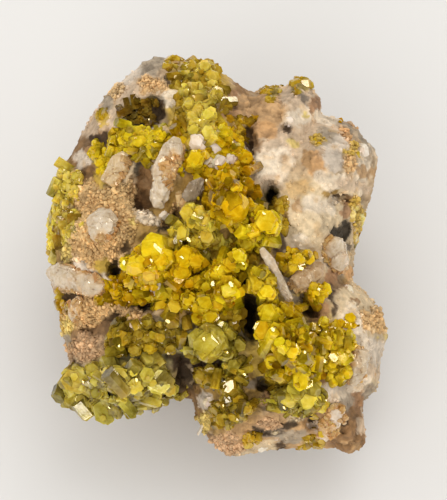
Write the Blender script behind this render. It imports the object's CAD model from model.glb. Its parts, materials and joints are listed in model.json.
"""The looks of the pyromorphite specimen.

A place on the specimen's face is written as a pixel of the reference picture, 447 by 500, and is found in
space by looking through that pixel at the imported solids, so that each thing sits on what carries it.
Sizes are in metres unless a name says otherwise.
"""

import itertools
import json
import math
from collections import namedtuple

import bmesh
import bpy
import numpy as np
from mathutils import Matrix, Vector
from mathutils.bvhtree import BVHTree

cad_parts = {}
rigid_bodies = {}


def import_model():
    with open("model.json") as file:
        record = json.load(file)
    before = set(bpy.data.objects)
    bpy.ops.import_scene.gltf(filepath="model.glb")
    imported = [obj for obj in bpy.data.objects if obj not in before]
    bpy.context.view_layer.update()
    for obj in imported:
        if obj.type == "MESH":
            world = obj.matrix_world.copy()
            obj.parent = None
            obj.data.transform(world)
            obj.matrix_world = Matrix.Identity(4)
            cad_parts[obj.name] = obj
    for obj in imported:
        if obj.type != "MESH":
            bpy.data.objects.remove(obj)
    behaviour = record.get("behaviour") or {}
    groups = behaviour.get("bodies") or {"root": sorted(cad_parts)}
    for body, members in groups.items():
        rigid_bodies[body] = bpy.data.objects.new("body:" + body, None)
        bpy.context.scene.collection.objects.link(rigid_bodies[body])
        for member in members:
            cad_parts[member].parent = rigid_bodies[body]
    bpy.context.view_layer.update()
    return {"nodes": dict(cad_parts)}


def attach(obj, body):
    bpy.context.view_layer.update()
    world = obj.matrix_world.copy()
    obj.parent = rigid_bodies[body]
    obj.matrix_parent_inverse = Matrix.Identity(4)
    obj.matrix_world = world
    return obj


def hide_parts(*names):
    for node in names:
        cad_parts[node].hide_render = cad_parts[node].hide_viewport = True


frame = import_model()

MM = 0.001

# The view: the picture's width and middle and the size of its pixels, and the viewer's place.
PICTURE_WIDTH = 447
PICTURE_CENTRE = (223.5, 250.0)
PIXEL = 0.062 / 345
VIEW_ELEVATION = math.radians(62)
VIEW_DISTANCE = 0.35
FACE_MIDDLE = np.array((0.001031, 0.000637, 0.0245))
ACROSS = np.array((1.0, 0.0, 0.0))
UPWARD = np.array((0.0, math.sin(VIEW_ELEVATION), math.cos(VIEW_ELEVATION)))
TOWARDS = np.array((0.0, -math.cos(VIEW_ELEVATION), math.sin(VIEW_ELEVATION)))
EYE = FACE_MIDDLE + TOWARDS * VIEW_DISTANCE

# How long the edges of the fine meshes are, in general, on the seen side and on the hidden side.
ROCK_EDGES = (0.39 * MM, 1.3 * MM)
CLUSTER_EDGES = (0.36 * MM, 0.9 * MM)
QUARTZ_EDGES = (0.3 * MM, 0.5 * MM)
# How many random spots are tried on a surface, and how far they may face away from the viewer, with 0 for
# sideways and -1 for straight away.
ROCK_SPOTS, CLUSTER_SPOTS, QUARTZ_SPOTS = (200000, -0.3), (9000, -0.6), (1500, -0.5)
# Nothing small grows lower than this over the ground.
LOWEST = 1.6 * MM

# The rock: the sizes of its chips and pebbles, the distances from its middle between which a patch fades,
# with 1 on its border, and how much of its own colour a patch has.
CHIP_SIZES = (3.6 * MM, 1.5 * MM, 0.7 * MM)
PEBBLE_SIZE = 0.62 * MM
PATCH_BORDER = (1.12, 0.82)
PATCH_STRENGTH = 0.88
# The facets of a cluster's own surface.
FACET_SIZE = 2.2 * MM
FACET_SEED = 401
# How far small things keep apart: the limonite grains, the places for quartz crystals on the rock and the
# crystals round a quartz piece, and, in their own radii, the small crystals on clusters and in thin crusts.
GRAIN_SPACING, DRUSE_SPACING, QUARTZ_RIM_SPACING = 0.46 * MM, 0.62 * MM, 0.75 * MM
CLUSTER_SPACING, CRUST_SPACING = 2.1, 1.5
# The share of the places for quartz crystals that have one.
DRUSE_SHARE = 0.14
# The small crystals: the share that has each form, and how wide the areas are where they lean alike.
SMALL_FORMS = {"prism": 0.55, "crag": 0.15, "stub": 0.3}
LEAN_SIZE = 3.2 * MM

# The lights that light the specimen: name, place, width and power in watts.
LIGHTS = [("window", (0.14, 0.16, 0.6), 0.4, 0.84), ("fill", (-0.2, -0.6, 0.5), 0.6, 2.5)]
# The lamps that the crystals glint with, spread over the sky.
LAMP_COUNT, LAMP_REACH = 16, 0.6
LAMP_SIZE, LAMP_POWER, LAMP_COLOUR = 0.045, 0.11, (1.0, 0.9, 0.7)
SKY_COLOUR = (1.0, 0.98, 0.95, 1)
# The floor: half its width, where the front and the back begin, and its colours there.
FLOOR_HALF = 1.5
FLOOR_RANGE = (-0.05, 0.08)
FLOOR_FRONT, FLOOR_BACK = (0.645, 0.635, 0.62, 1), (0.675, 0.665, 0.65, 1)

# Rock colours by eye, as they show on screen.
COLOURS = {
    "rock": (188, 160, 124), "beige": (212, 189, 152), "pinkish": (208, 182, 152), "pale": (232, 214, 188),
    "lilac": (218, 202, 182), "grey": (164, 148, 126), "slate": (124, 110, 94), "tan": (208, 168, 112),
    "sand": (216, 180, 124), "pink_tan": (196, 158, 118), "orange": (202, 154, 100), "brown": (142, 106, 66),
    "light_brown": (186, 146, 98), "red_brown": (164, 122, 84), "dark": (64, 42, 20), "black": (18, 11, 5),
    "olive": (152, 130, 48), "dark_olive": (92, 76, 28), "gold": (196, 162, 60), "ochre": (154, 118, 46),
    "green_grey": (158, 146, 92), "straw": (218, 192, 110), "milky": (208, 191, 166),
}
# The quartz pieces that aren't milky.
QUARTZ_COLOURS = {
    "quartz_grey_prism": "grey", "quartz_smoky_prism": "rock", "quartz_lower_ledge": "lilac",
    "quartz_upper_left_blade": "beige",
}

# A patch of the rock: middle and half sizes in pixels, turn in degrees anticlockwise, colour, and texture:
# g for grains of limonite, s for sugary quartz.
Patch = namedtuple("Patch", "x y half_width half_height turn colour texture", defaults=[""])
PATCHES = [Patch(*row) for row in (
    # Broad zones.
    (118, 92, 48, 40, 30, "pinkish", "s"), (84, 150, 34, 36, 50, "brown"), (60, 215, 22, 60, 0, "ochre"),
    (105, 225, 46, 50, 0, "sand", "g"), (200, 110, 34, 56, 0, "gold"),
    (300, 120, 62, 44, 0, "pinkish", "s"), (320, 225, 50, 55, 0, "beige", "s"),
    (205, 250, 74, 84, 0, "ochre"), (95, 320, 50, 40, 0, "tan", "g"),
    (150, 345, 60, 26, 0, "green_grey"), (365, 340, 36, 60, 0, "beige", "s"),
    (290, 345, 50, 60, 0, "gold"), (225, 400, 40, 34, 0, "ochre"), (300, 432, 76, 24, 0, "light_brown"),
    (120, 392, 62, 34, 0, "olive"), (352, 425, 26, 36, 0, "red_brown"),
    # Upper left.
    (150, 66, 18, 9, 20, "grey"), (128, 78, 16, 10, 40, "lilac", "s"), (156, 86, 16, 9, 0, "tan", "g"),
    (115, 92, 10, 8, 30, "sand", "g"), (168, 82, 4, 5, 0, "dark"), (173, 62, 6, 8, 0, "gold"),
    (172, 100, 10, 8, -20, "pale", "s"), (107, 104, 9, 7, 0, "grey"), (107, 118, 8, 7, 0, "gold"),
    (92, 128, 12, 8, 40, "pinkish", "s"), (102, 140, 11, 8, 0, "dark"),
    (84, 160, 10, 8, 30, "lilac", "s"), (90, 172, 12, 8, 0, "brown"),
    (145, 112, 24, 15, 15, "dark_olive"), (158, 112, 8, 14, -25, "dark"), (142, 124, 8, 5, 0, "black"),
    (130, 112, 5, 12, -25, "green_grey", "s"), (118, 128, 9, 11, 0, "pinkish", "s"),
    (70, 178, 8, 14, 20, "olive"), (62, 200, 8, 14, 10, "gold"), (52, 232, 7, 16, 0, "olive"),
    (112, 168, 14, 20, -35, "gold"), (98, 160, 6, 10, 20, "olive"),
    # Left.
    (95, 205, 20, 14, 20, "tan", "g"), (78, 232, 14, 22, 0, "sand", "g"),
    (100, 252, 26, 16, 0, "tan", "g"), (68, 246, 8, 14, 0, "straw", "g"),
    (125, 195, 20, 12, 30, "sand", "g"), (145, 170, 12, 9, 0, "black"), (142, 198, 9, 16, 0, "dark"),
    (150, 188, 14, 22, 0, "brown"), (140, 204, 6, 8, 0, "dark"), (150, 220, 14, 7, 0, "pale", "g"),
    (166, 222, 5, 17, -38, "black"), (172, 212, 4, 18, -42, "tan", "g"),
    (134, 226, 5, 5, 0, "straw", "g"), (116, 270, 6, 13, 0, "black"), (126, 248, 8, 6, 40, "dark"),
    (104, 270, 9, 12, 0, "gold"), (78, 278, 32, 13, -12, "lilac", "s"), (70, 298, 15, 6, -10, "dark"),
    (60, 304, 6, 12, 0, "gold"), (98, 305, 14, 14, 30, "tan", "g"), (66, 326, 10, 10, 0, "straw", "g"),
    (102, 326, 13, 6, 20, "slate"), (90, 330, 26, 7, 22, "brown"), (112, 316, 10, 4, 25, "dark"),
    (88, 346, 22, 14, 15, "pink_tan", "g"), (64, 345, 5, 12, 0, "grey"), (150, 303, 22, 9, 14, "black"),
    (152, 306, 12, 3, 10, "red_brown"), (157, 288, 9, 6, 0, "pale", "g"),
    (147, 327, 12, 8, 0, "pink_tan", "g"), (158, 335, 9, 6, 0, "sand", "g"),
    (190, 362, 30, 8, -8, "dark"), (182, 382, 10, 26, 14, "dark"), (190, 404, 12, 18, 0, "brown"),
    (132, 408, 8, 12, 0, "brown"), (107, 391, 5, 7, 30, "black"),
    # Top middle.
    (197, 78, 8, 9, 0, "dark_olive"), (185, 82, 5, 13, 0, "green_grey"),
    (228, 104, 14, 17, 0, "red_brown"), (216, 96, 4, 12, 0, "gold"),
    (245, 104, 7, 16, -20, "light_brown"), (193, 117, 8, 5, 0, "pinkish"), (240, 88, 8, 5, -30, "brown"),
    (248, 120, 6, 6, 0, "gold"), (236, 126, 6, 8, 0, "ochre"), (196, 144, 9, 7, 0, "pale", "s"),
    (213, 148, 9, 8, 0, "pale", "s"), (218, 166, 16, 5, 15, "pale", "s"),
    # Upper right.
    (267, 108, 19, 19, 0, "light_brown"), (262, 128, 12, 10, 0, "orange"), (271, 91, 9, 7, 0, "olive"),
    (300, 83, 10, 9, 0, "olive"), (290, 96, 6, 8, 0, "pinkish"), (304, 97, 6, 6, 40, "slate"),
    (317, 105, 8, 9, 0, "red_brown"), (322, 98, 3, 6, 0, "dark"), (296, 116, 16, 12, 30, "pale", "s"),
    (303, 114, 5, 4, 0, "straw"), (286, 128, 4, 5, 0, "dark"), (250, 138, 9, 14, 15, "brown"),
    (248, 146, 5, 7, 15, "dark"), (291, 143, 7, 6, 0, "straw"), (282, 158, 4, 4, 0, "brown"),
    (275, 165, 16, 18, 0, "pale", "s"), (270, 180, 8, 8, 0, "pinkish", "s"),
    (298, 190, 14, 10, 0, "sand", "s"), (325, 118, 14, 7, -15, "pale", "s"),
    (322, 138, 12, 10, 0, "grey", "s"), (316, 142, 6, 5, 0, "gold", "g"),
    (316, 165, 12, 13, 0, "orange"), (306, 160, 5, 8, 0, "light_brown"),
    (336, 155, 12, 16, 0, "lilac", "s"), (330, 178, 16, 10, 0, "pale", "s"),
    (346, 134, 8, 9, -50, "orange", "g"), (352, 150, 5, 8, 0, "gold", "g"),
    (352, 165, 6, 8, 0, "tan", "g"), (366, 152, 7, 8, 0, "pale", "s"),
    (366, 172, 8, 7, 0, "light_brown"), (352, 186, 18, 8, -15, "pinkish", "s"),
    (328, 190, 8, 4, 0, "ochre"), (338, 198, 12, 4, -8, "dark"), (352, 203, 9, 4, -25, "brown"),
    (350, 122, 16, 3, -25, "grey"), (366, 140, 3, 14, 30, "grey"),
    # Right middle.
    (272, 198, 8, 16, 5, "dark_olive"), (271, 195, 5, 7, 0, "black"), (283, 215, 6, 16, -10, "ochre"),
    (300, 206, 5, 6, 0, "light_brown"), (320, 206, 18, 10, 0, "pale", "s"),
    (315, 228, 24, 20, 0, "beige", "s"), (300, 240, 12, 10, 0, "pale", "s"),
    (342, 232, 7, 13, -28, "black"), (348, 248, 5, 6, 0, "slate"), (348, 212, 6, 8, -30, "red_brown"),
    (360, 232, 5, 38, 8, "gold", "g"), (333, 256, 11, 14, 20, "pale", "s"), (341, 268, 6, 5, 0, "grey"),
    (349, 276, 7, 7, 0, "orange"), (277, 240, 7, 14, 0, "dark"),
    (310, 272, 14, 10, 0, "light_brown", "s"), (330, 280, 6, 10, 0, "red_brown"),
    # Middle and the deep vug.
    (243, 274, 10, 10, 0, "brown"), (246, 282, 6, 5, 0, "black"), (249, 318, 13, 26, 6, "black"),
    (222, 318, 12, 14, 0, "dark_olive"), (290, 285, 8, 14, 0, "grey", "s"),
    (300, 300, 8, 5, 0, "slate", "s"),
    # Lower right.
    (311, 308, 10, 11, 0, "dark"), (322, 312, 6, 14, 0, "red_brown"), (333, 300, 4, 16, 0, "dark"),
    (312, 330, 14, 14, 0, "brown"), (350, 300, 14, 16, -30, "beige", "s"), (356, 303, 5, 4, 0, "brown"),
    (352, 330, 16, 24, 0, "pale", "s"), (376, 322, 12, 11, 0, "tan", "g"),
    (374, 350, 10, 14, 10, "lilac", "s"), (364, 335, 4, 12, 0, "pale", "s"),
    (386, 336, 4, 6, 0, "straw"), (357, 362, 9, 12, 0, "pale", "s"),
    (372, 372, 10, 9, 0, "pinkish", "s"), (325, 378, 14, 6, 0, "red_brown"),
    (332, 390, 16, 8, 25, "lilac", "s"), (352, 388, 20, 7, 30, "pale", "s"),
    (370, 394, 12, 7, 10, "grey", "s"), (340, 404, 16, 7, 30, "grey", "s"),
    (350, 430, 18, 24, 0, "brown"), (344, 420, 7, 7, 0, "dark"), (363, 422, 4, 14, 0, "pinkish", "s"),
    (354, 447, 9, 6, 0, "light_brown"),
    # Bottom.
    (255, 384, 16, 6, 0, "slate"), (270, 388, 18, 6, 0, "dark"),
    (280, 400, 20, 8, 0, "light_brown", "g"), (275, 398, 12, 8, 0, "brown", "g"),
    (268, 424, 14, 5, 0, "pink_tan", "g"), (299, 420, 11, 5, 0, "beige", "g"),
    (258, 428, 7, 4, 0, "black"), (288, 427, 9, 5, 0, "black"), (312, 420, 7, 5, 0, "black"),
    (272, 433, 12, 6, 0, "slate", "s"), (290, 438, 22, 6, 0, "grey", "s"), (278, 446, 7, 4, 0, "dark"),
    (314, 428, 7, 6, 0, "lilac", "s"), (262, 448, 13, 7, 0, "beige", "s"), (252, 436, 6, 6, 0, "gold"),
    (312, 442, 14, 4, 8, "olive"), (228, 446, 20, 12, 0, "pink_tan", "g"),
    (203, 424, 6, 14, -20, "straw", "g"), (205, 400, 9, 10, 0, "lilac", "s"),
)]

# Holes that nothing grows in: middle and half sizes in pixels, turn in degrees.
HOLES = [
    (250, 318, 10, 22, 6), (150, 304, 17, 5, 14), (116, 270, 4, 9, 0), (107, 391, 4, 6, 30),
    (272, 196, 5, 12, 5), (343, 232, 6, 12, -28), (187, 380, 6, 20, 14), (245, 278, 7, 6, 0),
    (198, 78, 4, 5, 0), (160, 114, 5, 12, -25), (142, 124, 5, 3, 0), (146, 170, 9, 7, 0),
    (142, 200, 6, 13, 0), (166, 222, 3, 14, -38), (205, 366, 18, 3, -4), (270, 386, 12, 4, 0),
    (311, 308, 6, 8, 0), (333, 298, 3, 13, 0), (258, 428, 6, 3, 0), (288, 427, 7, 3, 0),
    (338, 198, 11, 3, -8), (292, 307, 2, 2, 0), (278, 242, 4, 9, 0), (248, 144, 5, 8, 15),
    (132, 404, 5, 8, 0),
]

# Crystal colours by eye, as they show on screen.
LEMON, YELLOW, AMBER, GOLD = (218, 192, 32), (216, 180, 20), (200, 150, 14), (164, 120, 14)
LIME, OLIVE, MOSS, STRAW = (238, 216, 84), (200, 168, 48), (154, 120, 36), (238, 222, 140)
CITRON, DUSK, WHITE, CREAM = (236, 214, 96), (96, 78, 30), (238, 224, 202), (208, 188, 160)

# A large crystal: the pixel where its end shows, its radius in pixels, how bright it is from 0 to 1, its
# form, and, where it lies along the face, the pixel of its root.
Stone = namedtuple("Stone", "x y radius shade form root", defaults=[0.6, "block", None])
# A growth of crystals: the colours of its dark and bright crystals, its finish, the radius of its small
# crystals in millimetres, and its large ones.
Growth = namedtuple("Growth", "dark bright finish small stones", defaults=["", 0, ()])


def stones(*rows):
    return [Stone(*row) for row in rows]


# The growth on each cluster and crust.
GROWTHS = {
    "cluster_centre": Growth(GOLD, YELLOW, "waxy", 0.61, stones(
        (230, 201, 15, 0.9, "ball"), (225, 178, 9), (216, 184, 7, 0.5), (219, 199, 8, 0.8),
        (237, 209, 9, 0.5, "prism"), (227, 214, 10, 0.9), (246, 158, 7, 0.45, "prism"),
        (246, 171, 6, 0.3, "prism"), (247, 183, 7, 0.3, "prism"), (253, 197, 7, 0.2, "prism"),
        (222, 164, 6), (213, 172, 5), (235, 187, 7, 0.9),
    )),
    "cluster_inner_right": Growth(MOSS, LEMON, "waxy", 0.58, stones(
        (268, 221, 13, 0.95), (259, 212, 8, 0.8), (251, 229, 9, 1.0, "prism"),
        (238, 230, 9, 0.9, "prism"), (262, 240, 8, 0.7, "prism"), (246, 243, 8),
        (274, 233, 6, 0.9, "prism"),
    )),
    "cluster_left_centre": Growth(AMBER, LEMON, "waxy", 0.58, stones(
        (150, 254, 19, 1.0, "crag"), (137, 270, 12, 0.8), (126, 265, 7, 1.0, "prism"),
        (162, 262, 8, 0.7), (149, 276, 9, 0.2), (131, 281, 6, 0.4),
    )),
    "crust_left": Growth(GOLD, YELLOW, "waxy", 0.52, stones(
        (117, 292, 7, 0.7), (107, 287, 5), (129, 297, 6, 0.4), (142, 292, 6),
    )),
    "cluster_gold": Growth(GOLD, YELLOW, "waxy", 0.55, stones(
        (186, 257, 12, 0.85), (196, 262, 8, 0.7), (181, 272, 10, 0.5), (168, 277, 6, 0.3, "prism"),
        (176, 282, 5, 0.8, "prism", (176, 274)), (190, 284, 7),
    )),
    "cluster_upper_centre": Growth(OLIVE, LIME, "clear", 0.61, stones(
        (187, 214, 8, 0.6, "prism"), (204, 219, 10, 0.8), (180, 233, 9, 0.7),
        (173, 244, 6, 0.5, "prism"), (206, 237, 9, 0.5), (193, 243, 7, 0.4), (212, 227, 6, 0.7, "prism"),
        (196, 228, 6, 0.4, "prism"),
    )),
    "cluster_bridge": Growth(GOLD, LEMON, "waxy", 0.55, stones(
        (238, 256, 8, 0.8), (231, 263, 8), (223, 270, 8, 0.8), (215, 277, 7, 1.0, "prism"),
        (228, 289, 13, 0.95), (207, 286, 9, 0.8), (204, 302, 9, 0.7), (211, 317, 8, 0.4), (218, 303, 8),
        (189, 300, 8), (176, 296, 6), (196, 318, 6, 0.5),
    )),
    "cluster_arch": Growth(OLIVE, LEMON, "waxy", 0.52, stones(
        (262, 275, 7, 0.4, "prism"), (267, 291, 9, 0.7), (258, 287, 6, 0.6, "prism"),
        (271, 298, 6, 0.7, "prism"), (247, 286, 6, 0.9, "prism", (257, 287)),
    )),
    "cluster_right": Growth(GOLD, LEMON, "waxy", 0.55, stones(
        (266, 312, 10, 0.7, "prism"), (263, 331, 11, 0.55), (275, 331, 7, 1.0, "prism"),
        (279, 342, 6, 0.9, "prism"), (281, 351, 6, 0.9, "prism"), (288, 312, 8, 0.4),
        (296, 310, 5, 0.3, "prism"), (292, 327, 6, 0.6, "ball"), (302, 332, 5.5, 0.5, "ball"),
        (308, 342, 4.5, 0.5, "ball"), (300, 319, 4, 0.4, "ball"), (304, 358, 11, 0.7),
        (292, 352, 8, 0.8), (272, 362, 8), (274, 380, 7, 0.6, "prism", (275, 362)), (302, 381, 11, 0.75),
        (293, 369, 8, 0.7), (316, 366, 8, 1.0, "prism"), (312, 378, 7, 0.8, "prism"),
    )),
    "crust_right": Growth(OLIVE, LEMON, "waxy", 0.52, stones(
        (325, 321, 5, 0.4, "ball"), (337, 337, 7, 0.5), (342, 357, 8), (347, 373, 7, 0.7),
        (332, 350, 6, 0.5), (333, 364, 5, 0.9, "prism"), (320, 352, 4, 1.0, "prism"),
        (317, 330, 5.5, 0.2, "ball"), (335, 373, 6, 0.9, "prism"),
    )),
    "cluster_low_centre": Growth(DUSK, LIME, "clear", 0.7, stones(
        (210, 343, 19, 0.5, "crag"), (191, 350, 5, 0.6, "prism"), (226, 356, 8, 0.4, "prism"),
        (239, 346, 7, 0.3, "prism"), (232, 366, 8, 0.4, "prism"), (182, 348, 4, 0.7, "prism"),
    )),
    "group_low_centre": Growth(DUSK, OLIVE, "clear", 0.58, stones(
        (200, 377, 9, 0.7, "ball"), (214, 389, 5, 0.8, "prism", (218, 370)), (229, 385, 8, 0.6, "prism"),
        (245, 373, 8, 1.0, "blade", (232, 370)), (253, 354, 5, 0.9, "blade", (241, 368)),
        (222, 378, 5, 0.9, "prism", (226, 366)),
    )),
    "cluster_green": Growth(DUSK, LIME, "clear", 0.7, stones(
        (286, 407, 10, 0.9, "ball", (291, 388)), (299, 393, 8, 0.5), (309, 401, 11, 0.8),
        (303, 411, 7, 0.7, "prism"), (321, 399, 7, 0.4),
    )),
    "cluster_lower_left": Growth(DUSK, CITRON, "clear", 0.95, stones(
        (75, 382, 16, 0.75, "plate"), (68, 392, 9, 0.6, "prism"), (92, 371, 9, 0.6, "plate"),
        (82, 402, 8, 0.7), (104, 374, 9, 0.9, "prism"), (119, 375, 11, 0.75, "plate"), (96, 393, 7, 0.3),
        (104, 413, 14, 0.6, "plate"), (120, 403, 7, 0.9, "prism"), (134, 372, 5, 1.0, "prism"),
        (135, 386, 10, 1.0, "plate"), (157, 380, 16, 0.7, "plate"), (147, 375, 9, 0.6, "plate"),
        (170, 389, 9, 0.6, "plate"), (154, 399, 8), (132, 412, 8, 0.2, "plate"),
        (185, 391, 5, 0.6, "blade", (176, 398)), (186, 385, 4, 0.5, "blade", (178, 391)),
    )),
    "crust_mid_left": Growth(DUSK, OLIVE, "clear", 0.61, stones(
        (117, 324, 5, 0.3, "prism"), (123, 339, 8, 0.8, "prism"), (116, 350, 7, 0.5), (134, 350, 7, 0.7),
        (150, 348, 7, 0.9), (171, 349, 6), (172, 325, 7, 0.6, "prism"), (147, 322, 6, 0.4),
        (138, 334, 6, 0.6, "prism"), (189, 331, 5, 0.9, "prism", (186, 318)),
        (131, 318, 5, 0.5, "prism"), (160, 350, 6, 0.5),
    )),
    "crust_bottom": Growth(DUSK, OLIVE, "clear", 0.55, stones(
        (246, 410, 6, 0.8), (224, 420, 8, 0.7), (238, 400, 6, 0.9, "prism"), (214, 412, 6, 0.6, "prism"),
        (226, 402, 6, 0.5, "prism"), (231, 418, 6, 0.9),
    )),
    "group_upper_right": Growth(OLIVE, YELLOW, "waxy", 0.52, stones(
        (289, 256, 6, 0.5, "prism"), (298, 259, 7), (310, 259, 6, 0.7, "prism"),
        (301, 265, 6, 0.9, "prism"), (293, 268, 5, 0.4, "prism"), (284, 263, 5, 0.5, "prism"),
    )),
    "pair_right": Growth(AMBER, LEMON, "waxy", 0.52, stones(
        (317, 293, 7, 0.7), (327, 289, 6, 0.9),
    )),
    "crust_top": Growth(MOSS, CITRON, "waxy", 0.72, stones(
        (191, 66, 8, 0.4), (205, 66, 8), (212, 84, 6), (189, 104, 8), (205, 98, 6, 0.8),
        (208, 114, 8, 0.7), (195, 128, 8), (208, 132, 8),
    )),
    "crust_upper_centre": Growth(AMBER, LEMON, "waxy", 0.52, stones(
        (223, 133, 8), (228, 150, 6), (195, 159, 9, 0.7), (182, 177, 5, 0.5, "ball"), (236, 150, 6),
        (206, 172, 5, 0.4, "prism"),
    )),
    "crust_upper_left": Growth(OLIVE, LEMON, "waxy", 0.55, stones(
        (112, 146, 5, 0.5, "block", (108, 156)), (128, 136, 7), (139, 143, 8, 0.4), (149, 152, 8),
        (157, 145, 7, 0.9), (165, 135, 6, 1.0), (98, 158, 5, 0.7), (103, 168, 5, 0.9),
    )),
    "crust_left_edge": Growth(MOSS, CITRON, "waxy", 0.55, stones(
        (75, 176, 7, 0.3), (66, 186, 7), (66, 203, 7, 0.3), (58, 216, 6), (55, 230, 6), (54, 244, 5),
    )),
}

# White quartz crystals here and there.
WHITES = stones(
    (196, 143, 9, 0.8, "crag"), (187, 148, 5, 0.6, "crag"), (206, 144, 6, 0.9, "crag"),
    (215, 148, 9, 0.9, "crag"), (208, 163, 6, 0.6, "crag"), (221, 161, 8, 0.7, "crag"),
    (231, 159, 6, 0.6, "crag"), (163, 213, 5, 1.0, "prism"), (133, 325, 4, 1.0, "prism"),
    (157, 287, 4, 0.8, "crag"), (365, 153, 8, 0.9, "crag"), (313, 424, 7, 0.2, "ball"),
    (204, 424, 4, 1.0, "blade", (199, 434)), (152, 218, 4, 0.5, "crag"), (290, 121, 6, 0.9, "crag"),
    (350, 290, 6, 0.7, "crag"), (345, 262, 5, 0.5, "crag"), (276, 434, 6, 0.1, "crag"),
    (210, 403, 6, 0.4, "crag"), (262, 447, 7, 0.6, "crag"),
)

# Dull olive crystals, most of them at the top.
CAPS = stones(
    (266, 92, 9, 0.7, "crag"), (277, 90, 8, 0.8, "crag"), (272, 99, 6, 0.6, "crag"),
    (297, 83, 9, 0.75, "crag"), (306, 84, 9, 0.65, "crag"), (300, 92, 6, 0.5, "crag"),
    (173, 60, 6, 0.7, "prism"), (106, 117, 6, 0.75, "crag"), (133, 119, 5, 0.6, "prism"),
    (130, 130, 4, 0.5, "prism"), (357, 155, 5, 0.95, "crag"), (316, 141, 5, 0.95, "crag"),
    (322, 434, 5, 0.8, "prism"), (302, 442, 5, 0.7, "crag"), (333, 424, 5, 0.8, "blade"),
)

# Bright faces, each the flat end of a crystal that mirrors a lamp: middle and radius in pixels.
GLINTS = [
    (137, 130, 2.5), (150, 122, 2), (209, 183, 3.5), (197, 198, 2.5), (190, 240, 4), (127, 263, 4),
    (212, 283, 4), (231, 285, 4), (168, 322, 3.5), (110, 407, 2), (273, 330, 3.5), (350, 370, 2.5),
    (324, 359, 3.5), (244, 374, 2.5), (152, 262, 2.5), (264, 214, 2.5), (285, 407, 2.5), (205, 338, 3),
    (136, 382, 3), (303, 352, 2.5), (247, 226, 2.5), (120, 345, 2.5), (318, 290, 2.5), (226, 352, 2),
    (84, 381, 2.5), (224, 405, 2), (243, 262, 2.5), (182, 258, 2.5),
]

# Thin crusts of small crystals on the rock: middle and half sizes in pixels, turn, the radius of the crystals
# in millimetres, how much of the ground they cover, and their dark and bright colours.
Crust = namedtuple("Crust", "x y half_width half_height turn small cover dark bright")
CRUSTS = [Crust(*row) for row in (
    (200, 104, 22, 50, 5, 0.62, 0.60, MOSS, OLIVE), (205, 150, 38, 30, 0, 0.51, 0.62, AMBER, LEMON),
    (140, 142, 30, 16, 10, 0.51, 0.64, OLIVE, LEMON), (103, 160, 8, 16, 20, 0.45, 0.64, OLIVE, LEMON),
    (145, 112, 18, 11, 10, 0.45, 0.56, DUSK, MOSS), (107, 117, 8, 6, 0, 0.48, 0.48, MOSS, OLIVE),
    (173, 60, 6, 7, 0, 0.60, 0.64, MOSS, OLIVE), (66, 205, 14, 40, 10, 0.51, 0.56, MOSS, CITRON),
    (52, 235, 6, 22, 0, 0.51, 0.56, OLIVE, LIME), (271, 92, 9, 8, 0, 0.45, 0.30, MOSS, OLIVE),
    (300, 83, 9, 9, 0, 0.45, 0.30, MOSS, OLIVE), (248, 118, 6, 5, 0, 0.45, 0.48, GOLD, OLIVE),
    (238, 130, 7, 12, 0, 0.51, 0.56, GOLD, OLIVE), (316, 142, 6, 5, 0, 0.39, 0.40, GOLD, YELLOW),
    (350, 142, 7, 22, 20, 0.39, 0.24, GOLD, YELLOW), (360, 232, 5, 34, 8, 0.45, 0.40, GOLD, STRAW),
    (282, 212, 8, 18, -10, 0.51, 0.48, MOSS, OLIVE), (125, 290, 32, 12, 5, 0.51, 0.68, GOLD, YELLOW),
    (62, 308, 8, 20, 0, 0.45, 0.40, GOLD, OLIVE), (297, 262, 18, 14, 0, 0.48, 0.56, GOLD, YELLOW),
    (335, 352, 18, 32, 0, 0.48, 0.52, GOLD, YELLOW), (338, 373, 14, 6, 8, 0.48, 0.64, GOLD, LEMON),
    (349, 323, 3, 3, 0, 0.60, 0.80, AMBER, YELLOW), (222, 322, 16, 18, 0, 0.63, 0.64, MOSS, OLIVE),
    (252, 437, 6, 6, 0, 0.51, 0.56, GOLD, OLIVE), (312, 442, 14, 4, 8, 0.51, 0.48, MOSS, OLIVE),
    (300, 400, 26, 16, 0, 0.57, 0.56, MOSS, LIME), (212, 250, 16, 16, 0, 0.95, 0.80, MOSS, LIME),
    (240, 250, 14, 10, 0, 0.80, 0.60, MOSS, OLIVE), (176, 240, 10, 16, 0, 0.80, 0.60, MOSS, OLIVE),
    (165, 300, 20, 12, 0, 0.70, 0.60, OLIVE, LEMON), (282, 375, 12, 18, 0, 0.80, 0.66, MOSS, OLIVE),
)]

rng = np.random.default_rng(11)


def linear(colour):
    """An on-screen colour from 0 to 255 as linear light."""
    share = np.asarray(colour, float) / 255
    return np.where(share <= 0.04045, share / 12.92, ((share + 0.055) / 1.055) ** 2.4)


def mixed(tints, colour, share, most=1.0):
    """Linear colours moved towards an on-screen one, by a share for each of the most that they may move."""
    return tints + (linear(colour) - tints) * share[:, None] * most


def unit(vectors):
    return vectors / np.linalg.norm(vectors, axis=-1, keepdims=True)


def to_picture(points):
    """The pixels at which points show."""
    arms = points - FACE_MIDDLE
    near = arms @ TOWARDS
    reach = PIXEL * (VIEW_DISTANCE - near) / VIEW_DISTANCE
    return PICTURE_CENTRE[0] + (arms @ ACROSS) / reach, PICTURE_CENTRE[1] - (arms @ UPWARD) / reach


def sight(x, y):
    """The way from the viewer through a pixel."""
    on_face = ACROSS * (x - PICTURE_CENTRE[0]) * PIXEL + UPWARD * (PICTURE_CENTRE[1] - y) * PIXEL
    way = on_face - TOWARDS * VIEW_DISTANCE
    return way / np.linalg.norm(way)


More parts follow.
